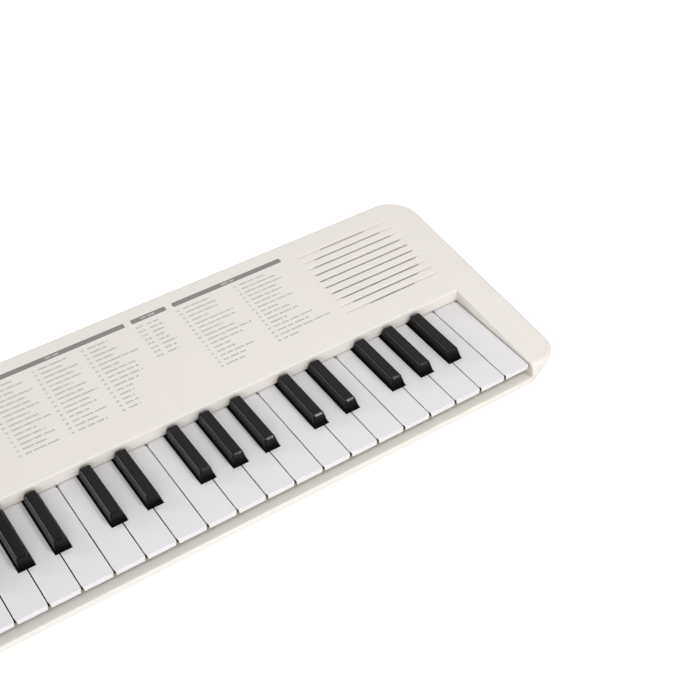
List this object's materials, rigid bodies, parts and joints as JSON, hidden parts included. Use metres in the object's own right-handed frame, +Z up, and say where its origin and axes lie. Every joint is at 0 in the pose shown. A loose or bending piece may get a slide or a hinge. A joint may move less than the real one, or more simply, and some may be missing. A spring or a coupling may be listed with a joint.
{
  "type": "mini keyboard",
  "caption": "Table-top mini keyboard: sprung piano keys in a sloping case with a speaker grille, panel buttons, a volume knob and rear sockets.",
  "frame": {"origin": "on the table, under the middle of the case", "axes": "+X along the keys towards the high notes, +Y from the player to the rear, +Z up"},
  "size_m": [0.5014, 0.192, 0.0526],
  "materials": {
    "ivory_case": "fine-grained moulded ABS, warm ivory",
    "white_keys": "glossy moulded key plastic, cool white",
    "black_keys": "glossy moulded key plastic, black",
    "grey_plastic": "moulded plastic, dark grey",
    "button_plastic": "moulded plastic, mid grey",
    "rubber": "moulded black rubber",
    "felt": "pressed wool felt, dark red",
    "circuit_board": "green solder mask on glass-fibre board",
    "steel": "pressed zinc-plated steel",
    "speaker_paper": "pressed black paper cone",
    "smoked_window": "smoked clear acrylic over the digits"
  },
  "bodies": {
    "case": {"upper_case": "ivory_case", "lower_case": "ivory_case", "key_frame": "grey_plastic", "key_stop_felt": "felt", "rubber_contact_strip": "rubber", "contact_board": "circuit_board", "main_board": "circuit_board", "speaker_frame": "steel", "speaker_cone": "speaker_paper", "display_window": "smoked_window", "socket_block": "grey_plastic", "foot_front_left": "rubber", "foot_front_right": "rubber", "foot_rear_left": "rubber", "foot_rear_right": "rubber"},
    "key_01_C": {"key_01_C": "white_keys"},
    "key_02_C_sharp": {"key_02_C_sharp": "black_keys"},
    "key_03_D": {"key_03_D": "white_keys"},
    "key_04_D_sharp": {"key_04_D_sharp": "black_keys"},
    "key_05_E": {"key_05_E": "white_keys"},
    "key_06_F": {"key_06_F": "white_keys"},
    "key_07_F_sharp": {"key_07_F_sharp": "black_keys"},
    "key_08_G": {"key_08_G": "white_keys"},
    "key_09_G_sharp": {"key_09_G_sharp": "black_keys"},
    "key_10_A": {"key_10_A": "white_keys"},
    "key_11_A_sharp": {"key_11_A_sharp": "black_keys"},
    "key_12_B": {"key_12_B": "white_keys"},
    "key_13_C": {"key_13_C": "white_keys"},
    "key_14_C_sharp": {"key_14_C_sharp": "black_keys"},
    "key_15_D": {"key_15_D": "white_keys"},
    "key_16_D_sharp": {"key_16_D_sharp": "black_keys"},
    "key_17_E": {"key_17_E": "white_keys"},
    "key_18_F": {"key_18_F": "white_keys"},
    "key_19_F_sharp": {"key_19_F_sharp": "black_keys"},
    "key_20_G": {"key_20_G": "white_keys"},
    "key_21_G_sharp": {"key_21_G_sharp": "black_keys"},
    "key_22_A": {"key_22_A": "white_keys"},
    "key_23_A_sharp": {"key_23_A_sharp": "black_keys"},
    "key_24_B": {"key_24_B": "white_keys"},
    "key_25_C": {"key_25_C": "white_keys"},
    "key_26_C_sharp": {"key_26_C_sharp": "black_keys"},
    "key_27_D": {"key_27_D": "white_keys"},
    "key_28_D_sharp": {"key_28_D_sharp": "black_keys"},
    "key_29_E": {"key_29_E": "white_keys"},
    "key_30_F": {"key_30_F": "white_keys"},
    "key_31_F_sharp": {"key_31_F_sharp": "black_keys"},
    "key_32_G": {"key_32_G": "white_keys"},
    "key_33_G_sharp": {"key_33_G_sharp": "black_keys"},
    "key_34_A": {"key_34_A": "white_keys"},
    "key_35_A_sharp": {"key_35_A_sharp": "black_keys"},
    "key_36_B": {"key_36_B": "white_keys"},
    "key_37_C": {"key_37_C": "white_keys"},
    "voice_button": {"voice_button": "button_plastic"},
    "rhythm_button": {"rhythm_button": "button_plastic"},
    "song_button": {"song_button": "button_plastic"},
    "start_stop_button": {"start_stop_button": "button_plastic"},
    "value_rocker": {"value_rocker": "button_plastic"},
    "volume_knob": {"volume_knob": "button_plastic"},
    "power_switch": {"power_switch": "grey_plastic"},
    "battery_cover": {"battery_cover": "ivory_case"}
  },
  "joints": [
    {"name": "key_01_C_press", "type": "hinge", "parent": "case", "child": "key_01_C", "pos_m": [-0.21525, 0.0142, 0.026], "axis": [1, 0, 0], "range_deg": [0, 2.1], "stiffness_Nm_per_rad": 0.9, "springref_deg": -3.15},
    {"name": "key_02_C_sharp_press", "type": "hinge", "parent": "case", "child": "key_02_C_sharp", "pos_m": [-0.2067, 0.0142, 0.026], "axis": [1, 0, 0], "range_deg": [0, 2.7], "stiffness_Nm_per_rad": 0.9, "springref_deg": -3.15},
    {"name": "key_03_D_press", "type": "hinge", "parent": "case", "child": "key_03_D", "pos_m": [-0.19475, 0.0142, 0.026], "axis": [1, 0, 0], "range_deg": [0, 2.1], "stiffness_Nm_per_rad": 0.9, "springref_deg": -3.15},
    {"name": "key_04_D_sharp_press", "type": "hinge", "parent": "case", "child": "key_04_D_sharp", "pos_m": [-0.1826, 0.0142, 0.026], "axis": [1, 0, 0], "range_deg": [0, 2.7], "stiffness_Nm_per_rad": 0.9, "springref_deg": -3.15},
    {"name": "key_05_E_press", "type": "hinge", "parent": "case", "child": "key_05_E", "pos_m": [-0.17425, 0.0142, 0.026], "axis": [1, 0, 0], "range_deg": [0, 2.1], "stiffness_Nm_per_rad": 0.9, "springref_deg": -3.15},
    {"name": "key_06_F_press", "type": "hinge", "parent": "case", "child": "key_06_F", "pos_m": [-0.15375, 0.0142, 0.026], "axis": [1, 0, 0], "range_deg": [0, 2.1], "stiffness_Nm_per_rad": 0.9, "springref_deg": -3.15},
    {"name": "key_07_F_sharp_press", "type": "hinge", "parent": "case", "child": "key_07_F_sharp", "pos_m": [-0.146, 0.0142, 0.026], "axis": [1, 0, 0], "range_deg": [0, 2.7], "stiffness_Nm_per_rad": 0.9, "springref_deg": -3.15},
    {"name": "key_08_G_press", "type": "hinge", "parent": "case", "child": "key_08_G", "pos_m": [-0.13325, 0.0142, 0.026], "axis": [1, 0, 0], "range_deg": [0, 2.1], "stiffness_Nm_per_rad": 0.9, "springref_deg": -3.15},
    {"name": "key_09_G_sharp_press", "type": "hinge", "parent": "case", "child": "key_09_G_sharp", "pos_m": [-0.1229, 0.0142, 0.026], "axis": [1, 0, 0], "range_deg": [0, 2.7], "stiffness_Nm_per_rad": 0.9, "springref_deg": -3.15},
    {"name": "key_10_A_press", "type": "hinge", "parent": "case", "child": "key_10_A", "pos_m": [-0.11275, 0.0142, 0.026], "axis": [1, 0, 0], "range_deg": [0, 2.1], "stiffness_Nm_per_rad": 0.9, "springref_deg": -3.15},
    {"name": "key_11_A_sharp_press", "type": "hinge", "parent": "case", "child": "key_11_A_sharp", "pos_m": [-0.0997, 0.0142, 0.026], "axis": [1, 0, 0], "range_deg": [0, 2.7], "stiffness_Nm_per_rad": 0.9, "springref_deg": -3.15},
    {"name": "key_12_B_press", "type": "hinge", "parent": "case", "child": "key_12_B", "pos_m": [-0.09225, 0.0142, 0.026], "axis": [1, 0, 0], "range_deg": [0, 2.1], "stiffness_Nm_per_rad": 0.9, "springref_deg": -3.15},
    {"name": "key_13_C_press", "type": "hinge", "parent": "case", "child": "key_13_C", "pos_m": [-0.07175, 0.0142, 0.026], "axis": [1, 0, 0], "range_deg": [0, 2.1], "stiffness_Nm_per_rad": 0.9, "springref_deg": -3.15},
    {"name": "key_14_C_sharp_press", "type": "hinge", "parent": "case", "child": "key_14_C_sharp", "pos_m": [-0.0632, 0.0142, 0.026], "axis": [1, 0, 0], "range_deg": [0, 2.7], "stiffness_Nm_per_rad": 0.9, "springref_deg": -3.15},
    {"name": "key_15_D_press", "type": "hinge", "parent": "case", "child": "key_15_D", "pos_m": [-0.05125, 0.0142, 0.026], "axis": [1, 0, 0], "range_deg": [0, 2.1], "stiffness_Nm_per_rad": 0.9, "springref_deg": -3.15},
    {"name": "key_16_D_sharp_press", "type": "hinge", "parent": "case", "child": "key_16_D_sharp", "pos_m": [-0.0391, 0.0142, 0.026], "axis": [1, 0, 0], "range_deg": [0, 2.7], "stiffness_Nm_per_rad": 0.9, "springref_deg": -3.15},
    {"name": "key_17_E_press", "type": "hinge", "parent": "case", "child": "key_17_E", "pos_m": [-0.03075, 0.0142, 0.026], "axis": [1, 0, 0], "range_deg": [0, 2.1], "stiffness_Nm_per_rad": 0.9, "springref_deg": -3.15},
    {"name": "key_18_F_press", "type": "hinge", "parent": "case", "child": "key_18_F", "pos_m": [-0.01025, 0.0142, 0.026], "axis": [1, 0, 0], "range_deg": [0, 2.1], "stiffness_Nm_per_rad": 0.9, "springref_deg": -3.15},
    {"name": "key_19_F_sharp_press", "type": "hinge", "parent": "case", "child": "key_19_F_sharp", "pos_m": [-0.0025, 0.0142, 0.026], "axis": [1, 0, 0], "range_deg": [0, 2.7], "stiffness_Nm_per_rad": 0.9, "springref_deg": -3.15},
    {"name": "key_20_G_press", "type": "hinge", "parent": "case", "child": "key_20_G", "pos_m": [0.01025, 0.0142, 0.026], "axis": [1, 0, 0], "range_deg": [0, 2.1], "stiffness_Nm_per_rad": 0.9, "springref_deg": -3.15},
    {"name": "key_21_G_sharp_press", "type": "hinge", "parent": "case", "child": "key_21_G_sharp", "pos_m": [0.0206, 0.0142, 0.026], "axis": [1, 0, 0], "range_deg": [0, 2.7], "stiffness_Nm_per_rad": 0.9, "springref_deg": -3.15},
    {"name": "key_22_A_press", "type": "hinge", "parent": "case", "child": "key_22_A", "pos_m": [0.03075, 0.0142, 0.026], "axis": [1, 0, 0], "range_deg": [0, 2.1], "stiffness_Nm_per_rad": 0.9, "springref_deg": -3.15},
    {"name": "key_23_A_sharp_press", "type": "hinge", "parent": "case", "child": "key_23_A_sharp", "pos_m": [0.0438, 0.0142, 0.026], "axis": [1, 0, 0], "range_deg": [0, 2.7], "stiffness_Nm_per_rad": 0.9, "springref_deg": -3.15},
    {"name": "key_24_B_press", "type": "hinge", "parent": "case", "child": "key_24_B", "pos_m": [0.05125, 0.0142, 0.026], "axis": [1, 0, 0], "range_deg": [0, 2.1], "stiffness_Nm_per_rad": 0.9, "springref_deg": -3.15},
    {"name": "key_25_C_press", "type": "hinge", "parent": "case", "child": "key_25_C", "pos_m": [0.07175, 0.0142, 0.026], "axis": [1, 0, 0], "range_deg": [0, 2.1], "stiffness_Nm_per_rad": 0.9, "springref_deg": -3.15},
    {"name": "key_26_C_sharp_press", "type": "hinge", "parent": "case", "child": "key_26_C_sharp", "pos_m": [0.0803, 0.0142, 0.026], "axis": [1, 0, 0], "range_deg": [0, 2.7], "stiffness_Nm_per_rad": 0.9, "springref_deg": -3.15},
    {"name": "key_27_D_press", "type": "hinge", "parent": "case", "child": "key_27_D", "pos_m": [0.09225, 0.0142, 0.026], "axis": [1, 0, 0], "range_deg": [0, 2.1], "stiffness_Nm_per_rad": 0.9, "springref_deg": -3.15},
    {"name": "key_28_D_sharp_press", "type": "hinge", "parent": "case", "child": "key_28_D_sharp", "pos_m": [0.1044, 0.0142, 0.026], "axis": [1, 0, 0], "range_deg": [0, 2.7], "stiffness_Nm_per_rad": 0.9, "springref_deg": -3.15},
    {"name": "key_29_E_press", "type": "hinge", "parent": "case", "child": "key_29_E", "pos_m": [0.11275, 0.0142, 0.026], "axis": [1, 0, 0], "range_deg": [0, 2.1], "stiffness_Nm_per_rad": 0.9, "springref_deg": -3.15},
    {"name": "key_30_F_press", "type": "hinge", "parent": "case", "child": "key_30_F", "pos_m": [0.13325, 0.0142, 0.026], "axis": [1, 0, 0], "range_deg": [0, 2.1], "stiffness_Nm_per_rad": 0.9, "springref_deg": -3.15},
    {"name": "key_31_F_sharp_press", "type": "hinge", "parent": "case", "child": "key_31_F_sharp", "pos_m": [0.141, 0.0142, 0.026], "axis": [1, 0, 0], "range_deg": [0, 2.7], "stiffness_Nm_per_rad": 0.9, "springref_deg": -3.15},
    {"name": "key_32_G_press", "type": "hinge", "parent": "case", "child": "key_32_G", "pos_m": [0.15375, 0.0142, 0.026], "axis": [1, 0, 0], "range_deg": [0, 2.1], "stiffness_Nm_per_rad": 0.9, "springref_deg": -3.15},
    {"name": "key_33_G_sharp_press", "type": "hinge", "parent": "case", "child": "key_33_G_sharp", "pos_m": [0.1641, 0.0142, 0.026], "axis": [1, 0, 0], "range_deg": [0, 2.7], "stiffness_Nm_per_rad": 0.9, "springref_deg": -3.15},
    {"name": "key_34_A_press", "type": "hinge", "parent": "case", "child": "key_34_A", "pos_m": [0.17425, 0.0142, 0.026], "axis": [1, 0, 0], "range_deg": [0, 2.1], "stiffness_Nm_per_rad": 0.9, "springref_deg": -3.15},
    {"name": "key_35_A_sharp_press", "type": "hinge", "parent": "case", "child": "key_35_A_sharp", "pos_m": [0.1873, 0.0142, 0.026], "axis": [1, 0, 0], "range_deg": [0, 2.7], "stiffness_Nm_per_rad": 0.9, "springref_deg": -3.15},
    {"name": "key_36_B_press", "type": "hinge", "parent": "case", "child": "key_36_B", "pos_m": [0.19475, 0.0142, 0.026], "axis": [1, 0, 0], "range_deg": [0, 2.1], "stiffness_Nm_per_rad": 0.9, "springref_deg": -3.15},
    {"name": "key_37_C_press", "type": "hinge", "parent": "case", "child": "key_37_C", "pos_m": [0.21525, 0.0142, 0.026], "axis": [1, 0, 0], "range_deg": [0, 2.1], "stiffness_Nm_per_rad": 0.9, "springref_deg": -3.15},
    {"name": "voice_button_press", "type": "slide", "parent": "case", "child": "voice_button", "axis": [0, 0.0946, -0.9955], "range_m": [0, 0.0008], "stiffness_N_per_m": 1000, "springref_m": -0.0006},
    {"name": "rhythm_button_press", "type": "slide", "parent": "case", "child": "rhythm_button", "axis": [0, 0.0946, -0.9955], "range_m": [0, 0.0008], "stiffness_N_per_m": 1000, "springref_m": -0.0006},
    {"name": "song_button_press", "type": "slide", "parent": "case", "child": "song_button", "axis": [0, 0.0946, -0.9955], "range_m": [0, 0.0008], "stiffness_N_per_m": 1000, "springref_m": -0.0006},
    {"name": "start_stop_button_press", "type": "slide", "parent": "case", "child": "start_stop_button", "axis": [0, 0.0946, -0.9955], "range_m": [0, 0.0008], "stiffness_N_per_m": 1000, "springref_m": -0.0006},
    {"name": "value_rocker_tilt", "type": "hinge", "parent": "case", "child": "value_rocker", "pos_m": [-0.1177, 0.06188, 0.04962], "axis": [0, 0.9955, 0.0946], "range_deg": [-3, 3], "stiffness_Nm_per_rad": 0.05},
    {"name": "volume_knob_turn", "type": "hinge", "parent": "case", "child": "volume_knob", "pos_m": [-0.2167, 0.03002, 0.0466], "axis": [0, -0.0946, 0.9955], "range_deg": [-140, 140]},
    {"name": "power_switch_slide", "type": "slide", "parent": "case", "child": "power_switch", "axis": [1, 0, 0], "range_m": [0, 0.004]},
    {"name": "battery_cover_open", "type": "hinge", "parent": "case", "child": "battery_cover", "pos_m": [0, 0.0294, 0.002], "axis": [-1, 0, 0], "range_deg": [0, 75]}
  ]
}
